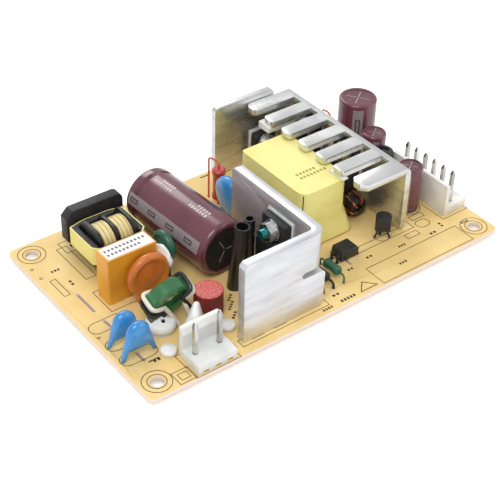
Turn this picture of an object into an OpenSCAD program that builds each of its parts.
// Open frame power supply: a single-sided circuit board with its input
// filter, bulk capacitor, two folded heatsinks, transformer and terminals.
// Origin: centre of the four mounting holes, on the board's underside.
// X runs from the mains input end to the low-voltage output end, Z is up.

/* [Board] */
// Length of the board
board_l = 127; // [124:0.5:134]
// Width of the board
board_w = 76.2; // [75:0.1:82]
// Thickness of the board
board_t = 1.6; // [1:0.1:2.4]
// Corner radius of the board
board_corner_r = 2; // [0.5:0.1:4]
// Diameter of the mounting holes
mount_hole_d = 4; // [3:0.1:4.6]
// Distance from the board's edges to the mounting holes
mount_inset = 5.3; // [4.6:0.1:5.8]
// Length of lead that is left below the board
lead_trim = 1.4; // [1:0.1:2.5]
// Width of the milled isolation slots
slot_w = 1; // [0.6:0.1:1.4]

/* [Terminals] */
// Spacing of the header positions
pin_pitch = 3.96; // [3.8:0.01:4.1]
// Width of a square header post
post_w = 1.14; // [0.8:0.02:1.3]
// Height of the posts above the board
post_h = 14.1; // [12:0.1:16]
// Depth of a header base, across the row of posts
header_depth = 9.1; // [8:0.1:9.4]
// Height of a header base
header_base_h = 3.2; // [2.4:0.1:4.5]
// Height of the friction wall above the board
header_wall_h = 10.9; // [8:0.1:12]
// Thickness of the friction wall
header_wall_t = 1.3; // [0.9:0.1:1.8]
// Number of positions on the mains header; the middle ones stay empty
ac_positions = 3; // [3:1:3]
// Number of posts on the output header
dc_positions = 6; // [4:1:6]

/* [Input filter] */
// Diameter of the fuse body
fuse_d = 8.4; // [7:0.1:9]
// Height of the fuse body
fuse_h = 8; // [6:0.1:10]
// Diameter of a small blue disc capacitor
y_cap_d = 7; // [6.4:0.1:7.8]
// Thickness of a small blue disc capacitor
y_cap_t = 4.2; // [3:0.1:4.8]
// Lead spacing of a small blue disc capacitor
y_cap_pitch = 10; // [9.4:0.1:10.4]
// Length of the box capacitor
x_cap_l = 16.4; // [14:0.1:17]
// Thickness of the box capacitor
x_cap_w = 6.4; // [5:0.1:7]
// Height of the box capacitor
x_cap_h = 15.4; // [12:0.1:18]
// Diameter of the varistor disc
varistor_d = 13.8; // [11:0.1:14.4]
// Thickness of the varistor disc
varistor_t = 4.2; // [3:0.1:4.6]
// Diameter of the inrush thermistor disc
thermistor_d = 9.8; // [8:0.1:10.4]
// Thickness of the inrush thermistor disc
thermistor_t = 3.8; // [3:0.1:4.2]
// Outer diameter of the green ring core
ring_d = 12.7; // [12:0.1:13.4]
// Hole diameter of the green ring core
ring_hole_d = 6.4; // [6.2:0.1:6.8]
// Axial thickness of the green ring core
ring_t = 4.6; // [4:0.1:5]
// Diameter of the insulated wire on the green ring core
ring_wire_d = 1.3; // [1:0.1:1.35]

/* [Line choke] */
// Length of the closed core, along the winding axis
line_core_l = 17.2; // [16.4:0.1:17.4]
// Width of the closed core
line_core_w = 15.6; // [15:0.1:16]
// Height of the closed core
line_core_h = 6.2; // [5:0.1:6.6]
// Width of the core's outer legs
line_core_leg = 1.7; // [1.2:0.1:1.8]
// Thickness of the yellow tape round the core
line_tape_t = 0.25; // [0.15:0.05:0.35]
// Outer diameter of the two windings
line_winding_d = 11; // [10:0.1:11.2]
// Wire diameter of the two windings
line_wire_d = 0.65; // [0.5:0.05:0.8]

/* [Bulk capacitor] */
// Outer diameter of the sleeved can
bulk_d = 17.4; // [15:0.1:17.6]
// Length of the sleeved can
bulk_l = 36.2; // [33:0.1:38]
// Thickness of the shrink sleeve
bulk_sleeve_t = 0.3; // [0.2:0.05:0.5]
// Lead spacing
bulk_pitch = 7.5; // [5:0.1:9]
// Length of the rectifier slab
bridge_l = 19.2; // [17:0.1:19.6]
// Height of the rectifier slab
bridge_h = 10.8; // [9:0.1:12]
// Thickness of the rectifier slab
bridge_t = 3.4; // [3:0.1:3.6]

/* [Primary side] */
// Thickness of the primary heatsink plate
hs1_t = 2.8; // [2:0.1:3.2]
// Length of the primary heatsink's front plate
hs1_front_l = 27.8; // [26.5:0.1:28.6]
// Length of the primary heatsink's wing
hs1_wing_l = 39.4; // [37:0.1:42]
// Height of the primary heatsink above the board
hs1_h = 26.2; // [25:0.1:29]
// Outer radius of the fold
hs1_fold_r = 4; // [3.4:0.1:5]
// Height of the relief slot above the board
hs1_relief_z = 12.6; // [11:0.1:14]
// Outer diameter of the larger open sleeve
tall_sleeve_d = 4.4; // [4:0.1:4.7]
// Outer diameter of the smaller open sleeve
slim_sleeve_d = 3.2; // [3:0.1:3.4]
// Diameter of the primary snubber disc
snubber_cap_d = 11.8; // [9:0.1:12.4]

/* [Transformer] */
// Length of the taped transformer, across the board
xf_l = 29.4; // [27:0.1:29.8]
// Width of the taped transformer at its top
xf_w = 17.4; // [16.6:0.1:17.6]
// Height of the transformer above the board
xf_h = 20.3; // [18:0.1:20.4]
// Flare of the tape at its lower edge
xf_flare = 3.4; // [2:0.1:3.6]
// Thickness of the tape wrap
xf_tape_t = 0.8; // [0.5:0.1:1]

/* [Secondary heatsink] */
// Thickness of the sheet
hs2_t = 2; // [1.4:0.1:2.1]
// Height of the comb above the board
hs2_h = 22.9; // [22.8:0.1:25]
// Length of the wall, along the board's short side
hs2_wall_l = 58.2; // [57:0.1:58.6]
// Reach of the comb over the transformer
hs2_comb_reach = 19; // [17:0.1:20]
// Width of the comb's spine, with the wall
hs2_spine_w = 3.3; // [3:0.1:4.5]
// Spacing of the comb's slots
hs2_slot_pitch = 8.22; // [7.8:0.01:8.4]
// Width of the comb's slots
hs2_slot_w = 3.72; // [3:0.01:4]
// Number of slots in the comb
hs2_slots = 6; // [4:1:6]
// Length of the back wing
hs2_wing_l = 30.4; // [27:0.1:31]
// Height of the back wing above the board
hs2_wing_h = 24.8; // [23.6:0.1:26]

/* [Power semiconductors] */
// Width of a power package
to220_w = 10.2; // [9.6:0.1:10.4]
// Depth of a power package's thick part
to220_t = 4.5; // [4:0.1:4.7]
// Depth of a power package's tab
to220_tab_t = 2.4; // [1.3:0.1:2.8]
// Height of a power package
to220_h = 15.8; // [14.6:0.1:16]
// Lead spacing of a power package
to220_pitch = 2.54; // [2.3:0.01:2.7]
// Thickness of an insulating pad
pad_t = 0.3; // [0.2:0.05:0.6]
// Diameter of the fixing screws
screw_d = 3; // [2.5:0.1:3.2]

/* [Output side] */
// Diameter of the large output capacitor
out_cap_d = 12.3; // [10:0.1:12.8]
// Height of the large output capacitor
out_cap_h = 19.7; // [16:0.1:22]
// Diameter of the medium output capacitor
mid_cap_d = 7.8; // [6.3:0.1:8.4]
// Height of the medium output capacitor
mid_cap_h = 13.8; // [10:0.1:16]
// Diameter of the end output capacitor
end_cap_d = 8; // [6.3:0.1:8.2]
// Height of the end output capacitor
end_cap_h = 15.6; // [12:0.1:18]
// Diameter of the sleeved drum choke
drum_d = 6.6; // [5.6:0.1:6.8]
// Height of the sleeved drum choke
drum_h = 11.6; // [9:0.1:13]
// Outer diameter of the output choke's ring core
out_ring_d = 6.2; // [5.8:0.1:6.4]
// Turns on the output choke
out_turns = 3; // [2:1:3]
// Wire diameter of the output choke
out_wire_d = 0.7; // [0.5:0.05:0.75]

/* [Hidden] */

$fn = 48;
eps = 0.01;
fit = 0.15;          // running clearance of a lead in its hole
seat = 0.05;         // gap between pieces that are pressed together
pad_margin = 0.55;   // width of the solder fillet round a lead
solder_h = 0.8;      // height of a solder fillet below the board
drop = board_t + lead_trim;

// Reference lines that the layout is measured from
front = -board_w / 2;
back = board_w / 2;
ac_end = -board_l / 2;
dc_end = board_l / 2;
top = board_t;

// Colours
c_board = "#e9cf85";
c_tin = "#c9ccd0";
c_natural = "#e9e6d8";
c_black = "#1e1f22";
c_blue = "#2aa4dc";
c_plate = "#dfe0e2";
c_maroon = "#5c2c33";
c_tape = "#f4f0a0";
c_copper = "#b06a3a";
c_silicone = "#f4f0e6";

// ---------------------------------------------------------------- layout
ac_header_x = ac_end + 21.7;
ac_header_y = front + 0.5 + header_depth / 2;
header_post_offset = 0.5;
header_end = 0.8;    // plastic beyond the outer positions
ac_post_sites = [for (i = [0, ac_positions - 1])
    [ac_header_x + (i - (ac_positions - 1) / 2) * pin_pitch, ac_header_y + header_post_offset]];

fuse_x = ac_end + 32.7;
fuse_y = front + 20.4;
fuse_sites = [[fuse_x - 2.54, fuse_y], [fuse_x + 2.54, fuse_y]];

y_cap_x = ac_end + 7.1;
y_cap_front_y = front + 16.6;
y_cap_rear_y = y_cap_front_y + y_cap_t + 2.8;
function pair_x(x, y, pitch) = [[x - pitch / 2, y], [x + pitch / 2, y]];
function pair_y(x, y, pitch) = [[x, y - pitch / 2], [x, y + pitch / 2]];
y_cap_front_sites = pair_x(y_cap_x, y_cap_front_y, y_cap_pitch);
y_cap_rear_sites = pair_x(y_cap_x, y_cap_rear_y, y_cap_pitch);

x_cap_x = ac_end + 11.5 + x_cap_l / 2;
x_cap_y = front + 38.1 + x_cap_w / 2;
x_cap_sites = pair_x(x_cap_x, x_cap_y, x_cap_l - 3.4);

varistor_x = ac_end + 22.9;
varistor_y = x_cap_y - x_cap_w / 2 - 0.5 - varistor_t / 2;
varistor_sites = [[varistor_x - 3.75, varistor_y - 0.6], [varistor_x + 3.75, varistor_y + 0.6]];

thermistor_x = x_cap_x + x_cap_l / 2 + 3 + thermistor_t / 2;
thermistor_y = x_cap_y + 0.8;
thermistor_z = top + 9.3;
thermistor_sites = pair_y(thermistor_x, thermistor_y, 5);

ring_x = ac_end + 22.1;
ring_y = front + 24.8;
ring_lean = 20;      // how far the ring's top leans to the front
ring_z = top + 0.5 + ring_d / 2 * cos(ring_lean) + ring_t / 2 * sin(ring_lean);

line_x = ac_end + 23.5;
line_y = back - 19.6;
line_z = top + 7.4;
line_tape_gap = 0.05;
line_pin_x = 5;
line_pin_y = 5.6;
line_sites = [for (sx = [-1, 1], sy = [-1, 1]) [line_x + sx * line_pin_x, line_y + sy * line_pin_y]];

bridge_x = ac_end + 24.8;
bridge_y = back - 6.4 - bridge_t / 2;
bridge_z = top + 2.3;
bridge_sites = [for (i = [-1.5 : 1.5]) [bridge_x + i * 5.08, bridge_y]];

bulk_x = ac_end + 46.1;
bulk_turn = 3.6;     // the can lies slightly askew
bulk_front_y = front + 31;
bulk_z = top + 0.2 + bulk_d / 2;
function along_bulk(across, l) = [bulk_x + across * cos(bulk_turn) - l * sin(bulk_turn),
    bulk_front_y + across * sin(bulk_turn) + l * cos(bulk_turn)];
bulk_reach = bulk_l + 2.6;
bulk_sites = [for (sx = [-1, 1]) along_bulk(sx * bulk_pitch / 2, bulk_reach)];

tall_sleeve_h = 22;
slim_sleeve_h = 19.8;
tall_sleeve_x = ac_end + 44.8;
tall_sleeve_y = bulk_front_y - 6.4;
tall_sleeve_lean = [1.2, -1.6];
slim_sleeve_x = ac_end + 51.6;
slim_sleeve_y = bulk_front_y - 4;

hs1_front_y = front + 3.9;
hs1_left_x = ac_end + 32.5;
hs1_right_x = hs1_left_x + hs1_front_l;
hs1_back_y = hs1_front_y + hs1_wing_l;
hs1_top_z = top + hs1_h;
hs1_tab_w = 4;

switch_y = hs1_front_y + 16.5;
switch_back_x = hs1_right_x - hs1_t - pad_t;
switch_top_z = hs1_top_z - 4.4;
to220_hole_drop = 3.2;
to220_lead_inset = 2.2;
switch_sites = [for (i = [-1 : 1]) [switch_back_x - to220_lead_inset, switch_y + i * to220_pitch]];

snubber_x = ac_end + 65.2;
snubber_res_y = back - 16;
snubber_lead_gap = 4.6;
snubber_sites = [[snubber_x, snubber_res_y], [snubber_x - 0.4, snubber_res_y + snubber_lead_gap]];
snubber_cap_x = snubber_x - 1.4;
snubber_cap_y = snubber_res_y - 4.2 - snubber_cap_d / 2 + 3.5;
snubber_cap_sites = pair_y(snubber_cap_x, snubber_cap_y - 0.6, 7.5);

hs2_wall_x = dc_end - 23.8;          // outer face of the wall
hs2_front_y = front + 16.4;
hs2_back_y = hs2_front_y + hs2_wall_l;
hs2_top_z = top + hs2_h;
hs2_comb_back_y = hs2_back_y - hs2_t - 0.5;
hs2_comb_x = hs2_wall_x - hs2_comb_reach;
hs2_foot = 1.1;                      // gap between sheet and board
hs2_first_slot_y = hs2_comb_back_y - 6.8;
hs2_rel_x = hs2_wall_x - hs2_t;      // inner face of the wall

xf_x = hs2_comb_x + 3.2 - xf_w / 2;
xf_y = hs2_front_y + 9.5 + xf_l / 2;
xf_pin_rows = xf_l / 2 - 2.2;
xf_sites = [for (s = [-1, 1], i = [-2 : 2]) [xf_x + i * 3.2, xf_y + s * xf_pin_rows]];

diode_top_z = hs2_top_z - hs2_t - 0.5;
diode_rear_y = hs2_back_y - 15.2;
diode_front_y = hs2_front_y + 24.6;
diode_x = hs2_rel_x - pad_t;
function wall_sites(y) = [for (i = [-1 : 1]) [diode_x - to220_lead_inset, y + i * to220_pitch]];
regulator_x = hs2_wall_x - 12.4;
regulator_y = hs2_back_y - hs2_t - pad_t;
regulator_top_z = top + 11.4;
regulator_sites = [for (i = [-1 : 1]) [regulator_x + i * 2.29, regulator_y - 1.3]];

out_ring_x = hs2_rel_x - 5;
out_ring_y = hs2_front_y + 15.2;
out_ring_t = 4.4;
out_ring_hole_d = out_ring_d * 0.52;
out_ring_z = top + seat + out_ring_d / 2;
out_loop_r = out_ring_d / 2 + 0.12 + out_wire_d / 2;
out_start_a = 235;
out_ring_sites = [[out_ring_x + out_loop_r * cos(out_start_a), out_ring_y],
    [out_ring_x + 1.2, out_ring_y + out_ring_t / 2 + 0.7]];

out_cap_x = dc_end - 7;
out_cap_y = back - 17;
mid_cap_x = dc_end - 10;
mid_cap_y = back - 28.9;
drum_x = dc_end - 12.2;
drum_y = back - 36;
end_cap_x = dc_end - 11.5 - end_cap_d / 2;
end_cap_y = front + 24.8;
out_snub_x = hs2_wall_x + 4.8;
out_snub_y = back - 15.6;
out_snub_sites = pair_y(out_snub_x, out_snub_y, 3.8);

dc_header_x = dc_end - 0.2 - header_depth / 2;
dc_header_y = front + 14.6 + dc_positions * pin_pitch / 2;
dc_post_sites = [for (i = [0 : dc_positions - 1])
    [dc_header_x - header_post_offset, dc_header_y + (i - (dc_positions - 1) / 2) * pin_pitch]];

opto_x = dc_end - 47.2;
opto_y = front + 17.2;
opto_sites = [for (sx = [-1, 1], sy = [-1, 1]) [opto_x + sx * 3.81, opto_y + sy * 1.27]];
shunt_x = dc_end - 31.9;
shunt_y = front + 17.6;
shunt_z = top + 2.8;
shunt_turn = -36;    // the flat faces the front left
shunt_sites = [[shunt_x - 1.9, shunt_y + 1.2], [shunt_x + 0.4, shunt_y + 1.4], [shunt_x + 1.9, shunt_y - 1.2]];

axial_y = front + 13;
axial_lead_l = 10.6;
bead_x = dc_end - 55.5;
diode_1_x = bead_x - 3.9;
diode_2_x = diode_1_x - 3.8;
function axial_sites(x) = pair_y(x, axial_y, axial_lead_l);

bias_x = hs1_right_x + 4.6;
bias_y = hs1_back_y - 12;

// Every lead that passes through the board: [x, y, bounding radius]
function tagged(sites, r) = [for (s = sites) [s[0], s[1], r]];
post_r = post_w * sqrt(2) / 2;
wire_r = 0.3;
heavy_r = 0.4;
blade = [0.8, 0.5];
blade_r = norm(blade) / 2;
ring_foot_y = ring_y - ring_t / 2 - ring_wire_d / 2 - 1.2;
ring_sites = [[ring_x + 0.4, ring_foot_y - 0.4], [ring_x + 3.9, ring_foot_y - 1],
    [ring_x - 4.4, ring_foot_y], [ring_x + 5.8, ring_foot_y]];
through_leads = concat(
    tagged(ac_post_sites, post_r), tagged(dc_post_sites, post_r),
    tagged(fuse_sites, wire_r), tagged(y_cap_front_sites, wire_r), tagged(y_cap_rear_sites, wire_r),
    tagged(x_cap_sites, heavy_r), tagged(varistor_sites, heavy_r), tagged(thermistor_sites, heavy_r),
    tagged(ring_sites, ring_wire_d / 2), tagged(line_sites, heavy_r), tagged(bridge_sites, heavy_r),
    tagged(bulk_sites, heavy_r), tagged(switch_sites, blade_r), tagged(snubber_sites, wire_r),
    tagged(pair_x(tall_sleeve_x, tall_sleeve_y, 2), wire_r),
    tagged(pair_x(slim_sleeve_x, slim_sleeve_y, 1.7), wire_r),
    tagged(snubber_cap_sites, wire_r), tagged(pair_x(bias_x, bias_y, 2), wire_r),
    tagged(xf_sites, heavy_r), tagged(wall_sites(diode_rear_y), blade_r),
    tagged(wall_sites(diode_front_y), blade_r), tagged(regulator_sites, blade_r),
    tagged(out_ring_sites, out_wire_d / 2), tagged(pair_x(out_cap_x, out_cap_y, 5), wire_r),
    tagged(pair_x(mid_cap_x, mid_cap_y, 3.5), wire_r), tagged(pair_x(end_cap_x, end_cap_y, 3.5), wire_r),
    tagged(pair_x(drum_x, drum_y, 3.5), heavy_r), tagged(out_snub_sites, wire_r),
    tagged(opto_sites, blade_r), tagged(shunt_sites, blade_r),
    tagged(axial_sites(bead_x), wire_r), tagged(axial_sites(diode_1_x), heavy_r),
    tagged(axial_sites(diode_2_x), heavy_r));

// --------------------------------------------------------------- helpers
function arc(c, r, a0, a1, n = 6) =
    [for (i = [0 : n]) let (a = a0 + (a1 - a0) * i / n) [c[0] + r * cos(a), c[1] + r * sin(a)]];

// Rectangle centred on the origin with rounded corners
module rounded(w, h, r) {
    polygon(concat(
        arc([w / 2 - r, h / 2 - r], r, 0, 90), arc([r - w / 2, h / 2 - r], r, 90, 180),
        arc([r - w / 2, r - h / 2], r, 180, 270), arc([w / 2 - r, r - h / 2], r, 270, 360)));
}

module turned(points) rotate_extrude() polygon(points);

// Tube swept along a path with a frame carried from ring to ring
function unit(v) = v / norm(v);
function heading(p, i) = unit(p[min(i + 1, len(p) - 1)] - p[max(i - 1, 0)]);
function square_to(n, t) = unit(n - (n * t) * t);
function any_normal(t) = unit(cross(t, abs(t[2]) < 0.9 ? [0, 0, 1] : [1, 0, 0]));
module tube(path, r, sides = 8) {
    normals = [for (i = 0, n = any_normal(heading(path, 0)); i < len(path);
        i = i + 1, n = i < len(path) ? square_to(n, heading(path, i)) : n) n];
    rings = [for (i = [0 : len(path) - 1]) let (t = heading(path, i), n = normals[i], b = cross(t, n))
        for (k = [0 : sides - 1]) path[i] + r * (cos(360 * k / sides) * n + sin(360 * k / sides) * b)];
    last = (len(path) - 1) * sides;
    sides_faces = [for (i = [0 : len(path) - 2], k = [0 : sides - 1])
        let (a = i * sides + k, b = i * sides + (k + 1) % sides) each [[a, b + sides, b], [a, a + sides, b + sides]]];
    ends = [[for (k = [0 : sides - 1]) k], [for (k = [sides - 1 : -1 : 0]) last + k]];
    polyhedron(rings, concat(ends, sides_faces));
}

// Round leads from the trimmed length up to a height above the board
module leads(sites, r, height) {
    for (s = sites) translate([s[0], s[1], -lead_trim]) cylinder(r = r, h = drop + height);
}

// Flat leads, wide across the row
module blades(sites, height, across = [0, 1]) {
    size = across[0] == 1 ? [blade[0], blade[1]] : [blade[1], blade[0]];
    for (s = sites)
        translate([s[0] - size[0] / 2, s[1] - size[1] / 2, -lead_trim]) cube([size[0], size[1], drop + height]);
}

// ----------------------------------------------------------------- board
hs1_tabs = [[hs1_left_x + 5, hs1_front_y + hs1_t / 2, hs1_tab_w, hs1_t],
    [hs1_right_x - 15, hs1_front_y + hs1_t / 2, hs1_tab_w, hs1_t],
    [hs1_right_x - hs1_t / 2, hs1_back_y - 5, hs1_t, hs1_tab_w]];
hs2_tab_w = 3.4;
hs2_tabs = [[hs2_wall_x - hs2_t / 2, hs2_front_y + 5, hs2_t, hs2_tab_w],
    [hs2_wall_x - hs2_t / 2, hs2_back_y - 9, hs2_t, hs2_tab_w],
    [hs2_wall_x - hs2_wing_l + 5, hs2_back_y - hs2_t / 2, hs2_tab_w, hs2_t]];

module tab_solids(tabs, height, grow = 0) {
    for (t = tabs)
        translate([t[0] - t[2] / 2 - grow, t[1] - t[3] / 2 - grow, -lead_trim])
            cube([t[2] + 2 * grow, t[3] + 2 * grow, drop + height]);
}

module milled_slot(x, y0, y1) {
    translate([x, y0, -eps]) cylinder(d = slot_w, h = board_t + 2 * eps);
    translate([x, y1, -eps]) cylinder(d = slot_w, h = board_t + 2 * eps);
    translate([x - slot_w / 2, y0, -eps]) cube([slot_w, y1 - y0, board_t + 2 * eps]);
}

module board() {
    color(c_board) difference() {
        linear_extrude(board_t) rounded(board_l, board_w, board_corner_r);
        for (sx = [-1, 1], sy = [-1, 1])
            translate([sx * (board_l / 2 - mount_inset), sy * (board_w / 2 - mount_inset), -eps])
                cylinder(d = mount_hole_d, h = board_t + 2 * eps);
        for (s = through_leads)
            translate([s[0], s[1], -eps]) cylinder(r = s[2] + fit, h = board_t + 2 * eps, $fn = 24);
        tab_solids(hs1_tabs, 1, fit);
        tab_solids(hs2_tabs, 1, fit);
        milled_slot(y_cap_x - 0.3, front + 38.8, front + 47.4);
        milled_slot(y_cap_x, front + 30.2, front + 33.6);
        milled_slot(y_cap_x, front + 14.2, front + 18);
        milled_slot(opto_x - 0.9, opto_y - 3.9, opto_y + 3.9);
    }
}

module solder_joints() {
    color(c_tin) for (s = through_leads) translate([s[0], s[1], -solder_h]) difference() {
        cylinder(r1 = s[2] + 0.15, r2 = s[2] + pad_margin, h = solder_h, $fn = 24);
        translate([0, 0, -eps]) cylinder(r = s[2] + eps, h = solder_h + 2 * eps, $fn = 24);
    }
}

// -------------------------------------------------------------- terminals
// Header along X: base with post holes and a friction wall on its +Y side
module header_housing(positions, sites_x) {
    l = positions * pin_pitch + header_end;
    difference() {
        union() {
            translate([-l / 2, -header_depth / 2, 0]) cube([l, header_depth, header_base_h]);
            translate([0, header_depth / 2, 0]) rotate([90, 0, 0]) linear_extrude(header_wall_t)
                polygon([[-l / 2, 0], [l / 2, 0], [l / 2, header_wall_h - 0.4], [l / 2 - 0.4, header_wall_h],
                    [0.4 - l / 2, header_wall_h], [-l / 2, header_wall_h - 0.4]]);
            translate([-l / 2, header_depth / 2 - header_wall_t, header_base_h]) rotate([90, 0, 90])
                linear_extrude(l) polygon([[0.3, header_wall_h - header_base_h - 3.2],
                    [0.3, header_wall_h - header_base_h - 1.2], [0, header_wall_h - header_base_h - 1.2],
                    [-0.6, header_wall_h - header_base_h - 2.2], [0, header_wall_h - header_base_h - 3.2]]);
        }
        for (x = sites_x)
            translate([x - post_w / 2 - seat, header_post_offset - post_w / 2 - seat, -eps])
                cube([post_w + 2 * seat, post_w + 2 * seat, header_base_h + 2 * eps]);
        for (i = [0 : positions - 1])
            translate([(i - (positions - 1) / 2) * pin_pitch - 0.9, -header_depth / 2 - eps, -eps])
                cube([1.8, 1.1, 1]);
    }
}

// Square post with a four-sided point at both ends
module post() {
    h = drop + post_h;
    tip = 1.2;
    outline = [[-post_w / 2, 0.6], [-post_w / 4, 0], [post_w / 4, 0], [post_w / 2, 0.6],
        [post_w / 2, h - tip], [post_w / 5, h], [-post_w / 5, h], [-post_w / 2, h - tip]];
    translate([0, 0, -lead_trim]) intersection() {
        translate([0, post_w / 2, 0]) rotate([90, 0, 0]) linear_extrude(post_w) polygon(outline);
        translate([-post_w / 2, 0, 0]) rotate([90, 0, 90]) linear_extrude(post_w) polygon(outline);
    }
}

module ac_header_housing() {
    color(c_natural) translate([ac_header_x, ac_header_y, top])
        header_housing(ac_positions, [for (s = ac_post_sites) s[0] - ac_header_x]);
}

module ac_header_pins() {
    color(c_tin) for (s = ac_post_sites) translate([s[0], s[1], 0]) post();
}

module dc_header_housing() {
    color(c_natural) translate([dc_header_x, dc_header_y, top]) rotate([0, 0, 90])
        header_housing(dc_positions, [for (s = dc_post_sites) s[1] - dc_header_y]);
}

module dc_header_pins() {
    color(c_tin) for (s = dc_post_sites) translate([s[0], s[1], 0]) post();
}

// ------------------------------------------------------------ input filter
module fuse() {
    r = fuse_d / 2;
    foot = 0.4;
    color("#a32a32") {
        translate([fuse_x, fuse_y, top]) turned(concat([[0, 0.01], [r * 0.86, 0.01], [r * 0.86, foot],
            [r, foot]], arc([r - 0.5, fuse_h - 0.5], 0.5, 0, 90), [[r * 0.86, fuse_h], [r * 0.84, fuse_h - 0.15],
            [0, fuse_h - 0.15]]));
        leads(fuse_sites, wire_r, 1);
    }
}

// Dipped disc standing across X: a lens over a skirt that ends in two legs
module dipped_disc(d, t, pitch, lift, skirt) {
    lens = concat([[0, -t / 2]], arc([d / 2 - t * 0.36, 0], t * 0.36, -75, 75), [[0, t / 2]]);
    shoulder = pitch / 2 - 1.3;
    hull() {
        translate([0, 0, lift + d / 2]) rotate([90, 0, 0]) rotate_extrude($fn = 32) polygon(lens);
        for (sx = [-1, 1]) translate([sx * shoulder, 0, skirt]) sphere(r = t * 0.24, $fn = 16);
    }
    for (sx = [-1, 1]) {
        dx = pitch / 2 - shoulder;
        dz = skirt - 0.3;
        translate([sx * pitch / 2, 0, 0.3]) rotate([0, -sx * atan2(dx, dz), 0])
            cylinder(r1 = 0.6, r2 = t * 0.235, h = norm([dx, dz]), $fn = 24);
    }
}

module y_capacitor(y, sites, lift) {
    color(c_blue) {
        translate([y_cap_x, y, top]) dipped_disc(y_cap_d, y_cap_t, y_cap_pitch, lift, lift - 0.6);
        leads(sites, wire_r, 0.8);
    }
}
module y_capacitor_front() y_capacitor(y_cap_front_y, y_cap_front_sites, 4.6);
module y_capacitor_rear() y_capacitor(y_cap_rear_y, y_cap_rear_sites, 3.2);

x_cap_edge = 0.7;
module x_capacitor() {
    color("#f0a52c") {
        translate([x_cap_x, x_cap_y, top + 0.1]) difference() {
            intersection() {
                linear_extrude(x_cap_h) rounded(x_cap_l, x_cap_w, x_cap_edge);
                translate([0, x_cap_w / 2, 0]) rotate([90, 0, 0]) linear_extrude(x_cap_w)
                    polygon([[-x_cap_l / 2, 0], [x_cap_l / 2, 0], [x_cap_l / 2, x_cap_h - x_cap_edge],
                        [x_cap_l / 2 - x_cap_edge / 2, x_cap_h], [x_cap_edge / 2 - x_cap_l / 2, x_cap_h],
                        [-x_cap_l / 2, x_cap_h - x_cap_edge]]);
            }
            translate([1 - x_cap_l / 2, 1 - x_cap_w / 2, -eps]) cube([x_cap_l - 2, x_cap_w - 2, 0.5]);
        }
        leads(x_cap_sites, heavy_r, 1.4);
    }
}

module x_capacitor_label() {
    label_t = 0.12;
    color("white") translate([x_cap_x, x_cap_y, top + 0.1 + x_cap_h])
        linear_extrude(label_t) square([x_cap_l - 1.6, x_cap_w - 1], center = true);
}

// Flat dipped disc across X with a small lens to both faces
module plain_disc(d, t) {
    r = t * 0.36;
    rotate([90, 0, 0]) turned(concat([[0, -t / 2], [d / 2 - t * 0.6, r - t / 2 - 0.25]],
        arc([d / 2 - r, 0], r, -80, 80, 8), [[d / 2 - t * 0.6, t / 2 - r + 0.25], [0, t / 2]]));
}

module varistor() {
    lift = 0.9;
    color("#c96a1d") {
        translate([varistor_x, varistor_y, top + lift + varistor_d / 2]) plain_disc(varistor_d, varistor_t);
        for (s = varistor_sites) translate([s[0], s[1], top + 0.2])
            cylinder(r1 = 0.6, r2 = 1, h = lift + varistor_d * 0.2, $fn = 24);
        leads(varistor_sites, heavy_r, 1);
    }
}

module inrush_thermistor() {
    color("#2f6b3f") {
        translate([thermistor_x, thermistor_y, thermistor_z]) rotate([0, 0, 90])
            plain_disc(thermistor_d, thermistor_t);
        leads(thermistor_sites, heavy_r, thermistor_z - top - thermistor_d * 0.32);
    }
}

module ring_frame() {
    translate([ring_x, ring_y, ring_z]) rotate([ring_lean, 0, 0]) children();
}

module ring_choke_core() {
    c = 0.6;
    color("#1f7a3c") ring_frame() rotate([90, 0, 0]) turned([
        [ring_hole_d / 2, c - ring_t / 2], [ring_hole_d / 2 + c, -ring_t / 2], [ring_d / 2 - c, -ring_t / 2],
        [ring_d / 2, c - ring_t / 2], [ring_d / 2, ring_t / 2 - c], [ring_d / 2 - c, ring_t / 2],
        [ring_hole_d / 2 + c, ring_t / 2], [ring_hole_d / 2, ring_t / 2 - c]]);
}

// Points round the ring's section at an angle, from the ring's own frame:
// 0 is the rim, 90 the rear face, 180 the hole and 270 the front face
function to_ring(p) = [ring_x + p[0], ring_y + p[1] * cos(ring_lean) - p[2] * sin(ring_lean),
    ring_z + p[1] * sin(ring_lean) + p[2] * cos(ring_lean)];
function ring_turn(a, from, to, n) =
    let (rm = (ring_d + ring_hole_d) / 4, g = 0.12 + ring_wire_d / 2,
        hr = (ring_d - ring_hole_d) / 4 + g, ha = ring_t / 2 + g)
    [for (i = [0 : n]) let (s = from + (to - from) * i / n,
        u = hr * sign(cos(s)) * pow(abs(cos(s)), 0.5), v = ha * sign(sin(s)) * pow(abs(sin(s)), 0.5))
        to_ring([(rm + u) * cos(a), v, (rm + u) * sin(a)])];

// Wire from one foot round the left of the ring, through the hole and round
// the right of the ring to the other foot
module ring_wire(foot_in, foot_out, left, right, depth) {
    lift = top + 0.9;
    tube(concat([[foot_in[0], foot_in[1], -lead_trim], [foot_in[0], foot_in[1], lift]],
        ring_turn(left, 240, 540, 18), [to_ring([0, depth, 0.4])], ring_turn(right, 180, -120, 18),
        [[foot_out[0], foot_out[1], lift + 1.4], [foot_out[0], foot_out[1], -lead_trim]]), ring_wire_d / 2);
}

module ring_choke_white_wire()
    color("white") ring_wire(ring_sites[0], ring_sites[1], 168, 20, -0.8);
module ring_choke_black_wire()
    color(c_black) ring_wire(ring_sites[2], ring_sites[3], 196, 44, 0.8);

// ------------------------------------------------------------------ line choke
line_bobbin_wall = 0.8;
line_flange_t = 1;
line_inner_l = line_core_l - 2 * (line_core_leg + 0.6);
line_winding_w = (line_inner_l - 3 * line_flange_t) / 2 - 2 * seat;
line_centre_leg = 3.2;
line_tube_w = line_centre_leg + 2 * line_bobbin_wall + 2 * seat;
line_flange_w = line_core_w - 2 * line_core_leg - 0.4;

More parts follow.
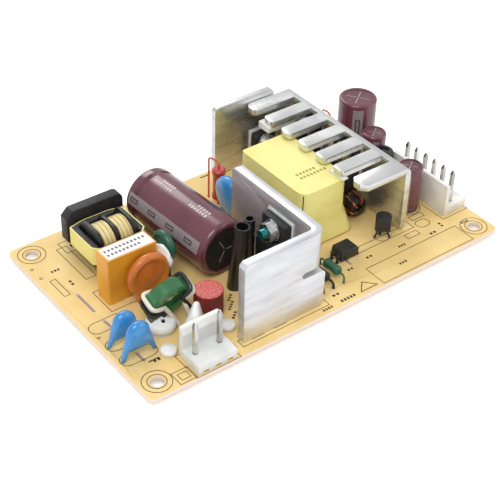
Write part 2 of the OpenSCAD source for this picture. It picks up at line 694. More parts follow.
// Closed core in plan, its front corners cut off and its back corners eased
module line_outline(grow) {
    l = line_core_l / 2 + grow;
    w = line_core_w / 2 + grow;
    polygon([[3.2 - l, -w], [l - 3.2, -w], [l, 3.2 - w], [l, w - 1], [l - 4.4, w], [4.4 - l, w], [-l, w - 1],
        [-l, 3.2 - w]]);
}

module line_frame() translate([line_x, line_y, line_z]) children();

module line_choke_core() {
    color("#3a3a3c") line_frame() translate([0, 0, -line_core_h / 2]) {
        linear_extrude(line_core_h) difference() {
            line_outline(0);
            square([line_core_l - 2 * line_core_leg, line_core_w - 2 * line_core_leg], center = true);
        }
        translate([eps - line_core_l / 2 + line_core_leg / 2, -line_centre_leg / 2,
            (line_core_h - line_centre_leg) / 2])
            cube([line_core_l - line_core_leg, line_centre_leg, line_centre_leg]);
    }
}

module line_choke_tape() {
    g = line_tape_gap;
    color(c_tape) line_frame() translate([0, 0, 0.1 - line_core_h / 2]) linear_extrude(line_core_h - 0.2)
        difference() {
            line_outline(g + line_tape_t);
            line_outline(g);
        }
}

module line_choke_bobbin() {
    flange_h = line_winding_d + 1.2;
    foot_h = line_z - flange_h / 2 - top - 0.1;
    color(c_black) {
        line_frame() difference() {
            union() {
                for (x = [-1, 0, 1]) translate([x * (line_inner_l - line_flange_t) / 2 - line_flange_t / 2, 0, 0])
                    rotate([90, 0, 90]) linear_extrude(line_flange_t)
                        rounded(line_flange_w - (x == 0 ? 0.6 : 0), flange_h - (x == 0 ? 0.6 : 0), 3);
                translate([-line_inner_l / 2, -line_tube_w / 2, -line_tube_w / 2])
                    cube([line_inner_l, line_tube_w, line_tube_w]);
            }
            translate([-line_inner_l / 2 - 1, -line_centre_leg / 2 - seat, -line_centre_leg / 2 - seat])
                cube([line_inner_l + 2, line_centre_leg + 2 * seat, line_centre_leg + 2 * seat]);
        }
        // pin rails under the two end flanges
        for (sx = [-1, 1]) translate([line_x + sx * line_pin_x - 1.2, line_y - line_pin_y - 1.2, top + 0.1])
            cube([2.4, 2 * line_pin_y + 2.4, foot_h + 1]);
        leads(line_sites, heavy_r, 1);
    }
}

// Winding with one ridge for each turn of its outer layer
module line_winding(x) {
    turns = floor(line_winding_w / line_wire_d);
    r = line_winding_d / 2;
    step = line_winding_w / turns;
    ridge = [for (i = [0 : turns - 1], a = [180 : -45 : 0])
        [r - line_wire_d / 2 + sin(a) * line_wire_d / 2, (i + 0.5) * step + cos(a) * step * 0.48]];
    core_r = line_tube_w / sqrt(2) + seat;
    color("#f2eaa6") line_frame() translate([x, 0, 0]) rotate([0, 90, 0]) turned(concat(
        [[core_r, 0]], ridge, [[core_r, line_winding_w]]));
}
module line_choke_windings() {
    line_winding(-line_flange_t / 2 - seat - line_winding_w);
    line_winding(line_flange_t / 2 + seat);
}

// ------------------------------------------------------ rectifier and bulk store
module bridge_rectifier() {
    c = 2.2;
    color("#2b2d30") {
        translate([bridge_x, bridge_y + bridge_t / 2, bridge_z]) rotate([90, 0, 0]) linear_extrude(bridge_t)
            polygon([[0.8 - bridge_l / 2, 0], [bridge_l / 2 - 0.8, 0], [bridge_l / 2, 0.8],
                [bridge_l / 2, bridge_h - 1.6], [bridge_l / 2 - 0.5, bridge_h - 0.5],
                [bridge_l / 2 - 1.6, bridge_h], [c - bridge_l / 2, bridge_h],
                [-bridge_l / 2, bridge_h - c], [-bridge_l / 2, 0.8]]);
        leads(bridge_sites, heavy_r, bridge_z - top + 1);
    }
}

module bulk_frame() translate([bulk_x, bulk_front_y, bulk_z]) rotate([-90, 0, bulk_turn]) children();

// Sealed can: vent end in front, seal with its groove at the back
module bulk_capacitor() {
    r = bulk_d / 2 - bulk_sleeve_t - eps;
    lip = 1;
    vent_w = 0.35;
    color("#2a2a2e") bulk_frame() difference() {
        turned(concat([[0, 0.5], [r - 1.6, 0.5]], arc([r - 1.2, 1.6], 1.2, -90, 0),
            [[r, bulk_l - 4.6], [r - 0.9, bulk_l - 3.9], [r, bulk_l - 3.2]],
            arc([r - 1, bulk_l - 1.4], 1, 0, 90), [[r - 1.6, bulk_l - 1], [0, bulk_l - 1]]));
        for (a = [30, 150, 270]) rotate([0, 0, a])
            translate([-vent_w / 2, 0, 0]) cube([vent_w, r - 2.4, 0.7]);
    }
}

module bulk_capacitor_sleeve() {
    r = bulk_d / 2;
    i = r - bulk_sleeve_t;
    wrap = 1.8;
    color(c_maroon) bulk_frame() turned(concat(
        [[r - wrap, 0.5 - bulk_sleeve_t + 0.05]], arc([r - 1.5, 1.5], 1.5, -85, 0),
        [[r, bulk_l - 4.8], [r - 0.85, bulk_l - 3.9], [r, bulk_l - 3]],
        arc([r - 1.3, bulk_l - 1.4], 1.3, 0, 85), [[r - wrap, bulk_l - 0.1], [r - wrap, bulk_l - 0.35]],
        arc([r - 1.3, bulk_l - 1.4], 1.02, 85, 0), [[i, bulk_l - 3.1], [i - 0.85, bulk_l - 3.9], [i, bulk_l - 4.7]],
        arc([r - 1.5, 1.6], 1.22, 0, -85), [[r - wrap, 0.4]]));
}

// Two leads out of the seal, bent down to the board
function bulk_point(sx, l, z) = concat(along_bulk(sx * bulk_pitch / 2, l), [z]);
module bulk_capacitor_leads() {
    start = bulk_l - 0.95;
    bend = 2.4;
    color(c_tin) for (sx = [-1, 1])
        tube(concat([bulk_point(sx, start, bulk_z)], [for (a = [90 : -15 : 0])
            bulk_point(sx, bulk_reach - bend + bend * cos(a), bulk_z - bend + bend * sin(a))],
            [bulk_point(sx, bulk_reach, -lead_trim)]), heavy_r);
}

// Open insulating sleeve standing on the board, with a lean
module open_sleeve(x, y, d, h, lean, wall) {
    slope = norm(lean);
    translate([x, y, top + 0.1]) rotate([0, 0, slope == 0 ? 0 : atan2(lean[1], lean[0])])
        rotate([0, atan2(slope, h), 0]) difference() {
            cylinder(d = d, h = h, $fn = 32);
            translate([0, 0, -1]) cylinder(d = d - 2 * wall, h = h + 2, $fn = 32);
        }
}

sleeve_wall = 0.45;
module tall_sleeve() {
    color(c_black) intersection() {
        open_sleeve(tall_sleeve_x, tall_sleeve_y, tall_sleeve_d, tall_sleeve_h, tall_sleeve_lean, sleeve_wall);
        translate([tall_sleeve_x - 10, tall_sleeve_y - 10, top + 0.1]) cube([20, 20, 40]);
    }
}
module slim_sleeve() {
    color(c_black) open_sleeve(slim_sleeve_x, slim_sleeve_y, slim_sleeve_d, slim_sleeve_h, [0, 0], sleeve_wall);
}

// Upright diode with its upper lead folded back down beside it
module folded_diode(x, y, d, pitch) {
    z = top + 2;
    l = 4.6;
    translate([x - pitch / 2, y, z]) cylinder(d = d, h = l, $fn = 24);
    translate([x - pitch / 2, y, -lead_trim]) cylinder(r = wire_r, h = z + lead_trim + 1, $fn = 16);
    loop = [for (a = [180 : -20 : 0]) [x + pitch / 2 * cos(a), y, z + l + 1 + pitch / 2 * sin(a)]];
    tube(concat([[x - pitch / 2, y, z + l - 0.2]], loop, [[x + pitch / 2, y, -lead_trim]]), wire_r, 6);
}

module sleeved_diodes() {
    color(c_black) {
        folded_diode(tall_sleeve_x, tall_sleeve_y, 1.2, 2);
        folded_diode(slim_sleeve_x, slim_sleeve_y, 0.8, 1.7);
    }
}

// ---------------------------------------------------------- primary heatsink
// Folded plate: front plate along X, quarter bend, wing along Y
module primary_heatsink() {
    t = hs1_t;
    ro = hs1_fold_r;
    ri = ro - t;
    fold = [hs1_right_x - ro, hs1_front_y + ro];
    relief_h = 2;
    relief_l = 7;
    tab_top = top + hs1_relief_z;
    color(c_plate) difference() {
        union() {
            translate([0, 0, top + 0.1]) linear_extrude(hs1_h - 0.1) polygon(concat(
                [[hs1_left_x, hs1_front_y]], arc(fold, ro, -90, 0, 10),
                [[hs1_right_x, hs1_back_y], [hs1_right_x - t, hs1_back_y]],
                arc(fold, max(ri, 0.2), 0, -90, 10), [[hs1_left_x, hs1_front_y + t]]));
            tab_solids(hs1_tabs, 2);
        }
        // rounded free corners of the front plate and the wing
        translate([hs1_left_x - eps, hs1_front_y - 1, hs1_top_z - 1.8 + eps]) rotate([-90, 0, 0])
            corner_cut(1.8, t + 2);
        translate([hs1_right_x - t - 1, hs1_back_y + eps, hs1_top_z - 1.8 + eps]) rotate([-90, 0, -90])
            corner_cut(1.8, t + 2);
        // relief slot below the fold
        translate([hs1_right_x - relief_l, hs1_front_y - 1, tab_top])
            cube([relief_l + 1, ro + 3, relief_h]);
        translate([hs1_right_x - relief_l, hs1_front_y - 1, tab_top + relief_h / 2]) rotate([-90, 0, 0])
            cylinder(d = relief_h, h = t + 2);
        // below the slot the wing starts behind the flat tab
        translate([hs1_right_x - relief_l, hs1_front_y + t, top]) cube([relief_l + 1, 3, hs1_relief_z + eps]);
        translate([hs1_right_x - ro - eps, hs1_front_y - 1, top]) cube([ro + 1, t + 1 + eps, hs1_relief_z + eps]);
        // screw hole of the switch
        translate([hs1_right_x - t - 1, switch_y, switch_top_z - to220_hole_drop]) rotate([0, 90, 0])
            cylinder(d = screw_d + 0.3, h = t + 2);
    }
    // flat tab that the slot leaves
    color(c_plate) translate([hs1_right_x - ro - 0.5, hs1_front_y + t, top + 0.1]) rotate([90, 0, 0])
        linear_extrude(t) polygon(concat([[0, 0]], arc([ro - 0.7, 1.2], 1.2, -90, 0),
            arc([ro - 0.7, hs1_relief_z - 1.5], 1.4, 0, 90), [[0, hs1_relief_z - 0.1]]));
}

// Square block minus a quarter round: removes a sharp corner at the origin
module corner_cut(r, h) {
    difference() {
        translate([-1, -r - 1, 0]) cube([r + 1, r + 1, h]);
        translate([r, 0, -1]) cylinder(r = r, h = h + 2);
    }
}

// ------------------------------------------------------- power semiconductors
// Package with its back on X = 0, facing -X, centred on Y, top at Z = 0
module power_package(lead_len) {
    tab_h = 6.6;
    bevel = 0.5;
    difference() {
        union() {
            translate([-to220_tab_t, -to220_w / 2, -tab_h - 0.4]) cube([to220_tab_t, to220_w, tab_h + 0.4]);
            translate([0, to220_w / 2, 0]) rotate([90, 0, 0]) linear_extrude(to220_w)
                polygon([[0, -tab_h], [-to220_tab_t, -tab_h], [bevel - to220_t, -tab_h - 0.8],
                    [-to220_t, -tab_h - 1.6], [-to220_t, 0.3 - to220_h], [0.3 - to220_t, -to220_h],
                    [-0.3, -to220_h], [0, 0.3 - to220_h]]);
        }
        translate([-to220_tab_t - 1, 0, -to220_hole_drop]) rotate([0, 90, 0])
            cylinder(d = screw_d + 0.3, h = to220_tab_t + 2);
    }
    for (i = [-1 : 1]) translate([-to220_lead_inset - blade[1] / 2, i * to220_pitch - blade[0] / 2,
        -to220_h - lead_len]) cube([blade[1], blade[0], lead_len + 1]);
    for (i = [-1 : 1]) translate([-to220_lead_inset - blade[1] / 2, i * to220_pitch - 0.65, -to220_h - 2.6])
        cube([blade[1], 1.3, 2.9]);
}

// Insulating pad with its back on X = 0, in the package's frame
module insulating_pad(w, h) {
    difference() {
        translate([0, -w / 2, 0.8 - h]) cube([pad_t, w, h]);
        translate([-1, 0, -to220_hole_drop]) rotate([0, 90, 0]) cylinder(d = screw_d + 0.4, h = pad_t + 2);
    }
}

screw_head_h = 2;
washer_t = 0.5;
nut_h = 2.3;
// Pan head screw through sheet and package, head on the sheet's +X face
module fixing_screw(sheet_t) {
    reach = sheet_t + pad_t + to220_tab_t + washer_t + nut_h + 1.8;
    translate([pad_t + sheet_t, 0, -to220_hole_drop]) rotate([0, 90, 0]) difference() {
        union() {
            turned(concat([[0, 0], [2.9, 0]], arc([1.5, 0.5], 1.45, 0, 80, 6), [[0, screw_head_h]]));
            translate([0, 0, -reach]) cylinder(d = screw_d, h = reach + eps);
        }
        for (a = [0, 90]) rotate([0, 0, a]) translate([-1.5, -0.25, screw_head_h - 0.8]) cube([3, 0.5, 2]);
    }
}

// Flat washer and hex nut on the package's face
module fixing_nut(tab_t) {
    translate([-tab_t, 0, -to220_hole_drop]) rotate([0, -90, 0]) difference() {
        union() {
            cylinder(d = 6.6, h = washer_t);
            translate([0, 0, washer_t - eps]) cylinder(d = 6.2, h = nut_h + eps, $fn = 6);
        }
        translate([0, 0, -1]) cylinder(d = screw_d + 2 * seat, h = nut_h + washer_t + 2);
    }
}

module at_switch() translate([switch_back_x, switch_y, switch_top_z]) children();
module switch_transistor() color(c_black) at_switch() power_package(switch_top_z - to220_h + lead_trim);
module switch_insulator() color("#e8e8e6") at_switch() insulating_pad(to220_w + 1, to220_h + 1.4);
module switch_screw() color("#2c9aa0") at_switch() fixing_screw(hs1_t);
module switch_nut() color("#a9adb2") at_switch() fixing_nut(to220_tab_t);

module at_wall(y) translate([diode_x, y, diode_top_z]) children();
module at_wing() translate([regulator_x, regulator_y, regulator_top_z]) rotate([0, 0, 90]) children();
module output_diode_rear() color(c_black) at_wall(diode_rear_y) power_package(diode_top_z - to220_h + lead_trim);
module output_diode_front() color(c_black) at_wall(diode_front_y) power_package(diode_top_z - to220_h + lead_trim);
// Small flat package on the back wing, held by one screw from behind
module output_regulator() {
    w = 7.8;
    t = 2.7;
    h = 9.4;
    color(c_black) {
        at_wing() difference() {
            translate([-t, 0, -h]) rotate([90, 0, 90]) linear_extrude(t) polygon([[-w / 2, 0], [w / 2, 0],
                [w / 2, h - 0.6], [w / 2 - 0.6, h], [0.6 - w / 2, h], [-w / 2, h - 0.6]]);
            translate([-t - 1, 0, -to220_hole_drop]) rotate([0, 90, 0]) cylinder(d = screw_d + 0.3, h = t + 2);
        }
        blades(regulator_sites, regulator_top_z - h - top + 1, [1, 0]);
    }
}
module each_output_diode() {
    at_wall(diode_rear_y) children();
    at_wall(diode_front_y) children();
}
module output_insulators() color("#e8e8e6") {
    each_output_diode() insulating_pad(to220_w + 1, to220_h + 1.4);
    at_wing() insulating_pad(9, 10.4);
}
module output_screws() color("#2c9aa0") {
    each_output_diode() fixing_screw(hs2_t);
    at_wing() fixing_screw(hs2_t);
}
module output_nuts() color("#a9adb2") {
    each_output_diode() fixing_nut(to220_tab_t);
    at_wing() fixing_nut(2.7);
}

// Strips under two fingers of the comb that keep it off the parts below
module comb_strips() {
    color("#efefea") {
        translate([hs2_comb_x - 0.4, hs2_first_slot_y - hs2_slot_pitch + hs2_slot_w / 2 + 0.8,
            hs2_top_z - hs2_t - 2.1]) cube([10.4, hs2_slot_pitch - hs2_slot_w + 0.6, 2.1 - seat]);
        translate([hs2_comb_x + 0.2, hs2_first_slot_y - 5 * hs2_slot_pitch + 1, top + xf_h + seat])
            cube([2, hs2_slot_pitch - 2, hs2_h - hs2_t - xf_h - 2 * seat]);
    }
}

// ------------------------------------------------------------- small parts
// Upright film resistor with bulged ends and a lead looped over its top
module upright_resistor(body, ret, d, z0, l) {
    r = d / 2;
    translate([body[0], body[1], z0]) turned([[0, 0], [r * 0.8, 0], [r, 0.5], [r, 1.6], [r * 0.86, 2.3],
        [r * 0.86, l - 2.3], [r, l - 1.6], [r, l - 0.5], [r * 0.8, l], [0, l]]);
    leads([body], wire_r, z0 - top + 1);
    mid = (body + ret) / 2;
    half = (body - ret) / 2;
    z = z0 + l + 1;
    loop = [for (a = [0 : 15 : 180]) [mid[0] + half[0] * cos(a), mid[1] + half[1] * cos(a),
        z + norm(half) * 0.5 * sin(a)]];
    tube(concat([[body[0], body[1], z0 + l - 0.2]], loop, [[ret[0], ret[1], -lead_trim]]), wire_r, 6);
}

module snubber_resistor() color("#c4434a") upright_resistor(snubber_sites[0], snubber_sites[1], 4.2, top + 1.9, 11);
module output_snubber_resistor() color("#d06a70")
    upright_resistor(out_snub_sites[0], out_snub_sites[1], 3.6, top + 1, 15);

module snubber_capacitor() {
    color(c_blue) {
        translate([snubber_cap_x, snubber_cap_y - 0.6, top]) rotate([0, 0, 90])
            dipped_disc(snubber_cap_d, 4.6, 7.5, 2.2, 2.6);
        leads(snubber_cap_sites, wire_r, 0.8);
    }
}

// Radial can: crimped foot, rounded shoulder, recessed scored top
module radial_can(x, y, d, h, pitch, r_lead) {
    r = d / 2;
    translate([x, y, top + 0.1]) difference() {
        turned(concat([[0, 0], [r - 0.7, 0], [r - 0.25, 0.3], [r - 0.25, 1.2], [r - 0.65, 1.8], [r, 2.4]],
            arc([r - 0.7, h - 0.7], 0.7, 0, 90, 5), [[r * 0.78, h], [r * 0.76, h - 0.25], [0, h - 0.25]]));
        for (a = [0, 90]) rotate([0, 0, a + 35]) translate([-r * 0.6, -0.12, h - 0.4]) cube([r * 1.2, 0.24, 1]);
    }
    leads(pair_x(x, y, pitch), r_lead, 1);
}

module output_capacitor_large() color(c_maroon) radial_can(out_cap_x, out_cap_y, out_cap_d, out_cap_h, 5, wire_r);
module output_capacitor_medium() color(c_maroon) radial_can(mid_cap_x, mid_cap_y, mid_cap_d, mid_cap_h, 3.5, wire_r);
module output_capacitor_end() color(c_maroon) radial_can(end_cap_x, end_cap_y, end_cap_d, end_cap_h, 3.5, wire_r);
module bias_capacitor() color("#23232b") radial_can(bias_x, bias_y, 5, 11, 2, wire_r);

module output_drum_choke() {
    r = drum_d / 2;
    color(c_black) {
        translate([drum_x, drum_y, top + 0.1]) turned(concat([[0, 0], [r - 0.5, 0], [r, 0.5]],
            arc([r - 0.9, drum_h - 0.9], 0.9, 0, 90, 5), [[r * 0.55, drum_h], [r * 0.5, drum_h - 0.6],
            [0, drum_h - 0.6]]));
        leads(pair_x(drum_x, drum_y, 3.5), heavy_r, 1);
    }
}

// --------------------------------------------------------------- transformer
xf_foot = 0.6;
xf_core_t = 5;
module xf_frame() translate([xf_x, xf_y, top]) children();

// Taped block: straight upper part, lower half flared out over the bobbin
module xf_outline(left, right) {
    x0 = -xf_w / 2 - left;
    x1 = xf_w / 2 + right;
    l = xf_l / 2 + left / 2;
    polygon(concat(arc([x1 - 1, l - 1], 1, 0, 90, 4), arc([x0 + 1, l - 1], 1, 90, 180, 4),
        arc([x0 + 3, 3 - l], 3, 180, 270, 5), arc([x1 - 3, 3 - l], 3, 270, 360, 5)));
}
module xf_block() {
    waist = xf_foot + (xf_h - xf_foot) * 0.5;
    translate([0, 0, waist - eps]) linear_extrude(xf_h - waist + eps) xf_outline(0, 0);
    hull() {
        translate([0, 0, waist - 0.1]) linear_extrude(0.1) xf_outline(0, 0);
        translate([0, 0, xf_foot]) linear_extrude(0.2) xf_outline(xf_flare / 3, xf_flare);
    }
}

module transformer_tape() {
    cavity_w = xf_w - 2 * xf_tape_t;
    cavity_l = xf_l - 2 * xf_tape_t;
    color(c_tape) xf_frame() difference() {
        xf_block();
        translate([-cavity_w / 2, -cavity_l / 2, 0]) cube([cavity_w, cavity_l, xf_h - xf_tape_t]);
    }
}

xf_leg = 4;
xf_core_w = xf_w - 2 * xf_tape_t - 0.6;
xf_core_l = xf_l - 2 * xf_tape_t - 0.6;
xf_core_z = xf_foot + 3;
xf_core_h = xf_h - xf_tape_t - xf_core_z - 0.2;
xf_core_leg_h = xf_core_h - 2 * xf_leg;
xf_tube = 6;
// Two E halves meet in one closed core: yokes above and below the coil
module transformer_core() {
    color("#4a4a4d") xf_frame() translate([0, 0, xf_core_z]) {
        for (z = [0, xf_core_h - xf_leg * 0.7])
            translate([-xf_core_t / 2, -xf_core_l / 2, z]) cube([xf_core_t, xf_core_l, xf_leg * 0.7]);
        for (y = [-xf_core_l / 2, xf_core_l / 2 - xf_leg])
            translate([-xf_core_t / 2, y, 0]) cube([xf_core_t, xf_leg, xf_core_h]);
        translate([-xf_core_t / 2 + 0.2, -xf_tube / 2, 0.1]) cube([xf_core_t - 0.4, xf_tube, xf_core_h - 0.2]);
    }
}

xf_coil_z0 = xf_core_z + xf_leg * 0.7 + 0.2;
xf_coil_h = xf_core_h - 2 * xf_leg * 0.7 - 0.4;
xf_coil_l = xf_core_l - 2 * xf_leg - 0.4;
xf_flange_t = 0.7;
module transformer_bobbin() {
    rail_h = xf_core_z - 0.2;
    color(c_black) xf_frame() {
        difference() {
            union() {
                for (z = [xf_coil_z0, xf_coil_z0 + xf_coil_h - xf_flange_t]) translate([0, 0, z])
                    linear_extrude(xf_flange_t) rounded(xf_core_w, xf_coil_l, 1.5);
                translate([0, 0, xf_coil_z0]) linear_extrude(xf_coil_h)
                    rounded(xf_core_t + 1.6, xf_tube + 1.6, 0.6);
            }
            translate([-xf_core_t / 2, -xf_tube / 2 - 0.1, 0]) cube([xf_core_t, xf_tube + 0.2, 40]);
        }
        // pin rails at both ends, joined to the lower flange by two cheeks
        for (s = [-1, 1]) translate([-xf_core_w / 2, s * xf_pin_rows - 1.3, 0.1])
            cube([xf_core_w, 2.6, rail_h - 0.1]);
        for (sx = [-1, 1]) translate([sx * (xf_core_t / 2 + 1.6) - 1.1, -xf_pin_rows, 0.6])
            cube([2.2, 2 * xf_pin_rows, rail_h - 0.6]);
        for (sx = [-1, 1]) translate([sx * (xf_core_t / 2 + 1.6) - 1.1, -xf_coil_l / 2 + 1, rail_h - eps])
            cube([2.2, xf_coil_l - 2, xf_coil_z0 - rail_h + 2 * eps]);
    }
    color(c_tin) leads(xf_sites, heavy_r, 1);
}

module transformer_windings() {
    g = 0.1;
    color("#c58a3c") xf_frame() translate([0, 0, xf_coil_z0 + xf_flange_t + g])
        linear_extrude(xf_coil_h - 2 * xf_flange_t - 2 * g) difference() {
            rounded(xf_core_w - 0.4, xf_coil_l - 0.4, 3);
            rounded(xf_core_t + 1.6 + 2 * g, xf_tube + 1.6 + 2 * g, 0.7);
        }
}

// --------------------------------------------------------- secondary heatsink
hs2_fold_r = hs2_t + 0.4;
// Plan of one finger, pointing along -X from the spine, with a rounded tip
module finger(y0, y1, tip_x, r) {
    polygon(concat([[hs2_wall_x - hs2_spine_w + 0.2, y0]], [[hs2_wall_x - hs2_spine_w + 0.2, y1]],
        arc([tip_x + r, y1 - r], r, 90, 180, 4), arc([tip_x + r, y0 + r], r, 180, 270, 4)));
}
// Plan of the comb: spine, fingers and a broad end finger cut at its corners
module comb_plan() {
    translate([hs2_wall_x - hs2_spine_w, hs2_front_y])
        square([hs2_spine_w - hs2_fold_r, hs2_comb_back_y - hs2_front_y]);
    finger(hs2_first_slot_y + hs2_slot_w / 2, hs2_comb_back_y, hs2_comb_x, 1.8);
    for (i = [0 : hs2_slots - 2])
        finger(hs2_first_slot_y - (i + 1) * hs2_slot_pitch + hs2_slot_w / 2,
            hs2_first_slot_y - i * hs2_slot_pitch - hs2_slot_w / 2, hs2_comb_x + 0.3, 1.3);
    end_y = hs2_first_slot_y - (hs2_slots - 1) * hs2_slot_pitch - hs2_slot_w / 2;
    polygon([[hs2_wall_x - hs2_spine_w + 0.2, hs2_front_y], [hs2_comb_x + 2.1, hs2_front_y],
        [hs2_comb_x + 0.4, hs2_front_y + 1.7], [hs2_comb_x + 0.4, end_y - 1.5], [hs2_comb_x + 1.6, end_y],
        [hs2_wall_x - hs2_spine_w + 0.2, end_y]]);
}

// Comb section across Y: flat top with a quarter fold down into the wall
module comb_fold(l) {
    rotate([90, 0, 0]) linear_extrude(l) polygon(concat(
        arc([-hs2_fold_r, -hs2_fold_r], hs2_fold_r, 90, 0, 8),
        arc([-hs2_fold_r, -hs2_fold_r], hs2_fold_r - hs2_t, 0, 90, 8)));
}

module secondary_heatsink() {
    t = hs2_t;
    ro = hs2_fold_r;
    corner = [hs2_wall_x - ro, hs2_back_y - ro];
    wing_x0 = hs2_wall_x - hs2_wing_l;
    wing_top = top + hs2_wing_h;
    notch_x = hs2_wall_x - 7.4;
    color("#d9dadb") difference() {
        union() {
            // comb, fold and wall
            translate([0, 0, hs2_top_z - t]) linear_extrude(t) comb_plan();
            translate([hs2_wall_x, hs2_comb_back_y, hs2_top_z])
                comb_fold(hs2_comb_back_y - hs2_front_y);
            translate([hs2_rel_x, hs2_front_y, top + hs2_foot])
                cube([t, hs2_comb_back_y - hs2_front_y, hs2_h - hs2_foot - ro + eps]);
            // fold into the back wing, below the comb
            translate([0, 0, top + hs2_foot]) linear_extrude(hs2_h - hs2_foot - ro - 2) polygon(concat(
                [[hs2_wall_x, hs2_comb_back_y - 1]], arc(corner, ro, 0, 90, 8),
                [[notch_x - 1, hs2_back_y], [notch_x - 1, hs2_back_y - t]],
                arc(corner, ro - t, 90, 0, 8), [[hs2_wall_x - t, hs2_comb_back_y - 1]]));
            translate([wing_x0, hs2_back_y, top + hs2_foot]) rotate([90, 0, 0]) linear_extrude(t)
                polygon(concat([[0, 0], [notch_x - wing_x0, 0]],
                    arc([notch_x - wing_x0 - 1.6, hs2_wing_h - hs2_foot - 1.6], 1.6, 0, 90),
                    arc([1.6, hs2_wing_h - hs2_foot - 1.6], 1.6, 90, 180)));
            tab_solids(hs2_tabs, hs2_foot + 1);
        }
        for (y = [diode_rear_y, diode_front_y]) translate([hs2_rel_x - 1, y, diode_top_z - to220_hole_drop])
            rotate([0, 90, 0]) cylinder(d = screw_d + 0.3, h = t + 2);
        translate([regulator_x, hs2_back_y - t - 1, regulator_top_z - to220_hole_drop]) rotate([-90, 0, 0])
            cylinder(d = screw_d + 0.3, h = t + 2);
    }
}

// --------------------------------------------------------------- output choke
module out_ring_frame() translate([out_ring_x, out_ring_y, out_ring_z]) children();
module output_choke_core() {
    c = 0.5;
    color("#2c2c30") out_ring_frame() rotate([90, 0, 0]) turned([
        [out_ring_hole_d / 2, c - out_ring_t / 2], [out_ring_hole_d / 2 + c, -out_ring_t / 2],
        [out_ring_d / 2 - c, -out_ring_t / 2], [out_ring_d / 2, c - out_ring_t / 2],
        [out_ring_d / 2, out_ring_t / 2 - c], [out_ring_d / 2 - c, out_ring_t / 2],
        [out_ring_hole_d / 2 + c, out_ring_t / 2], [out_ring_hole_d / 2, out_ring_t / 2 - c]]);
}

// Turns round the ring's section, the two ends brought straight down to the board
module output_choke_winding() {
    rm = (out_ring_d + out_ring_hole_d) / 4;
    hr = out_loop_r - rm;
    ha = out_ring_t / 2 + out_loop_r - out_ring_d / 2;
    sweep = out_start_a - 75;
    steps = out_turns * 16;
    helix = [for (i = [0 : steps])
        let (a = out_start_a - sweep * i / steps, s = 22.5 * i,
            u = hr * sign(cos(s)) * pow(abs(cos(s)), 0.6), v = ha * sign(sin(s)) * pow(abs(sin(s)), 0.6))
        [out_ring_x + (rm + u) * cos(a), out_ring_y + v, out_ring_z + (rm + u) * sin(a)]];
    far = out_ring_sites[1];
    color(c_copper) tube(concat([concat(out_ring_sites[0], [-lead_trim])], helix,
        [[far[0], far[1] - 0.5, out_ring_z + out_loop_r], [far[0], far[1], out_ring_z + out_loop_r - 0.6],
        concat(far, [-lead_trim])]), out_wire_d / 2, 6);
}

// --------------------------------------------------------------- signal parts
// Four-lead package with drafted sides and shouldered leads
module optocoupler() {
    l = 4.6;
    w = 6.5;
    h = 3.4;
    lift = 0.5;
    color(c_black) {
        translate([opto_x, opto_y + l / 2, top + lift]) rotate([90, 0, 0]) linear_extrude(l)
            polygon([[0.3 - w / 2, 0], [w / 2 - 0.3, 0], [w / 2, h * 0.55], [w / 2 - 0.5, h], [0.5 - w / 2, h],
                [-w / 2, h * 0.55]]);
        for (s = opto_sites) {
            side = sign(s[0] - opto_x);
            translate([s[0] - blade[1] / 2, s[1] - blade[0] / 2, -lead_trim])
                cube([blade[1], blade[0], drop + lift + h * 0.55]);
            translate([min(s[0] + blade[1] / 2 * side, opto_x + side * (w / 2 - 0.4)), s[1] - 0.6,
                top + lift + h * 0.55 - 0.3]) cube([abs(s[0] + blade[1] / 2 * side - opto_x) - w / 2 + 0.4, 1.2, 0.3]);
        }
    }
}

// Small signal package: cylinder with one flat
module shunt_reference() {
    d = 4.8;
    h = 5;
    color(c_black) {
        translate([shunt_x, shunt_y, shunt_z]) rotate([0, 0, shunt_turn]) difference() {
            cylinder(d = d, h = h);
            translate([-d, -d - 1.3, -1]) cube([2 * d, d, h + 2]);
        }
        for (s = shunt_sites) {
            k = sign(round(s[0] - shunt_x)) * 1.27;
            reach = [shunt_x + k * cos(shunt_turn), shunt_y + k * sin(shunt_turn)];
            tube([[s[0], s[1], -lead_trim], [s[0], s[1], top + 0.3], [reach[0], reach[1], shunt_z - 0.6],
                [reach[0], reach[1], shunt_z + 0.5]], 0.28, 6);
        }
    }
}

// Axial part lying along Y with both leads bent down into the board
module axial_part(x, d, l, lift, lead_r, bulge) {
    z = top + lift + d / 2;
    r = d / 2;
    q = r * (1 - bulge);
    translate([x, axial_y + l / 2, z]) rotate([90, 0, 0]) turned([[0, 0], [r * 0.7, 0], [r, 0.5],
        [r, l * 0.2], [q, l * 0.3], [q, l * 0.7], [r, l * 0.8], [r, l - 0.5], [r * 0.7, l], [0, l]]);
    for (side = [-1, 1]) {
        y1 = axial_y + side * axial_lead_l / 2;
        b = 0.9;
        bend = [for (a = [90 : -30 : 0]) [x, y1 - side * b + side * b * cos(a), z - b + b * sin(a)]];
        tube(concat([[x, axial_y + side * (l / 2 - 0.3), z]], bend, [[x, y1, -lead_trim]]), lead_r, 6);
    }
}

module feedback_resistor() color("#3d9a6b") axial_part(bead_x, 3, 6, 1, wire_r, 0.12);
module small_diodes() color(c_black) {
    axial_part(diode_1_x, 2.7, 5.2, 0.4, heavy_r, 0);
    axial_part(diode_2_x, 2.7, 5.2, 0.4, heavy_r, 0);
}

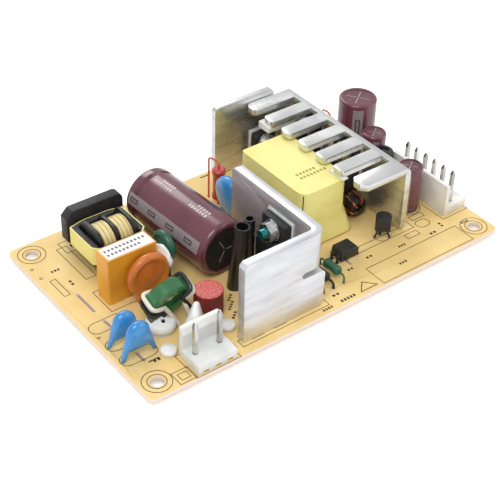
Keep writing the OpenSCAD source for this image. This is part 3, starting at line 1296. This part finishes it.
// Silicone dabs that hold parts down, each clear of its neighbours
module dab(x, y, r, h) {
    translate([x, y, top]) turned(concat([[0, 0.01], [r * 0.9, 0.01]],
        arc([r - h * 0.4, h * 0.4], h * 0.4, -60, 90, 6), [[0, h * 1.1]]));
}
module silicone_dabs() {
    wall_back = ac_header_y + header_depth / 2;
    color(c_silicone) {
        dab(ac_header_x - ac_positions * pin_pitch / 2 - 1.7, ac_header_y + 7.7, 2.4, 2);
        dab(ac_header_x + ac_positions * pin_pitch / 2 + 5.3, ac_header_y + 6.8, 2.4, 1.8);
        // dome that beds the ring choke
        difference() {
            dab(ring_x - 4.2, ring_y - 2.6, 4.4, 4.2);
            ring_frame() rotate([90, 0, 0]) cylinder(r = ring_d / 2 + ring_wire_d + 0.3,
                h = ring_t + 2 * ring_wire_d + 0.6, center = true);
            translate([ring_sites[2][0], ring_sites[2][1], top - 1]) cylinder(r = ring_wire_d / 2 + seat, h = 9);
            translate([ring_sites[0][0], ring_sites[0][1], top - 1]) cylinder(r = ring_wire_d / 2 + seat, h = 9);
        }
        // mound with a drawn-up peak behind the mains header
        hull() {
            translate([ac_header_x - 1.6, wall_back + 2.9, top + 2.2]) sphere(r = 2.4, $fn = 16);
            translate([ac_header_x - 1.6, wall_back + 3, top]) cylinder(r = 2.6, h = 0.2, $fn = 20);
            translate([ac_header_x + 2.6, wall_back + 3.4, top]) cylinder(r = 2.8, h = 0.2, $fn = 20);
            translate([ac_header_x + 0.4, wall_back + 2.2, top + 9.2]) sphere(r = 1.4, $fn = 16);
            translate([ac_header_x + 3.2, wall_back + 5.6, top + 9.6]) sphere(r = 1, $fn = 16);
        }
    }
}

// Control chip with gull-wing leads on the board's underside
module control_chip() {
    l = 4.9;
    w = 3.9;
    h = 1;
    span = 6;
    x = hs1_right_x + 3.4;
    y = front + 30;
    color(c_black) translate([x, y, -h - 0.1]) {
        translate([-l / 2, -w / 2, 0]) cube([l, w, h]);
        for (i = [-1.5 : 1.5], s = [-1, 1]) translate([i * 1.27 - 0.2, 0, 0]) {
            y_in = s * (w / 2 - 0.2);
            y_out = s * span / 2;
            translate([0, min(y_in, y_in + s * 0.75), 0.4]) cube([0.4, 0.75, 0.2]);
            translate([0, min(y_in + s * 0.55, y_in + s * 0.75), 0.4]) cube([0.4, 0.2, h - 0.4 + 0.1]);
            translate([0, min(y_in + s * 0.55, y_out), h - 0.1]) cube([0.4, abs(y_out - y_in) - 0.55, 0.2]);
        }
    }
}

board();
solder_joints();
ac_header_housing();
ac_header_pins();
fuse();
y_capacitor_front();
y_capacitor_rear();
x_capacitor();
x_capacitor_label();
varistor();
inrush_thermistor();
ring_choke_core();
ring_choke_white_wire();
ring_choke_black_wire();
line_choke_core();
line_choke_tape();
line_choke_bobbin();
line_choke_windings();
bridge_rectifier();
bulk_capacitor();
bulk_capacitor_sleeve();
bulk_capacitor_leads();
tall_sleeve();
slim_sleeve();
sleeved_diodes();
primary_heatsink();
switch_transistor();
switch_insulator();
switch_screw();
switch_nut();
snubber_resistor();
snubber_capacitor();
bias_capacitor();
transformer_tape();
transformer_core();
transformer_bobbin();
transformer_windings();
secondary_heatsink();
output_diode_rear();
output_diode_front();
output_regulator();
output_insulators();
output_screws();
output_nuts();
comb_strips();
output_choke_core();
output_choke_winding();
output_capacitor_large();
output_capacitor_medium();
output_capacitor_end();
output_drum_choke();
output_snubber_resistor();
dc_header_housing();
dc_header_pins();
optocoupler();
shunt_reference();
feedback_resistor();
small_diodes();
silicone_dabs();
control_chip();
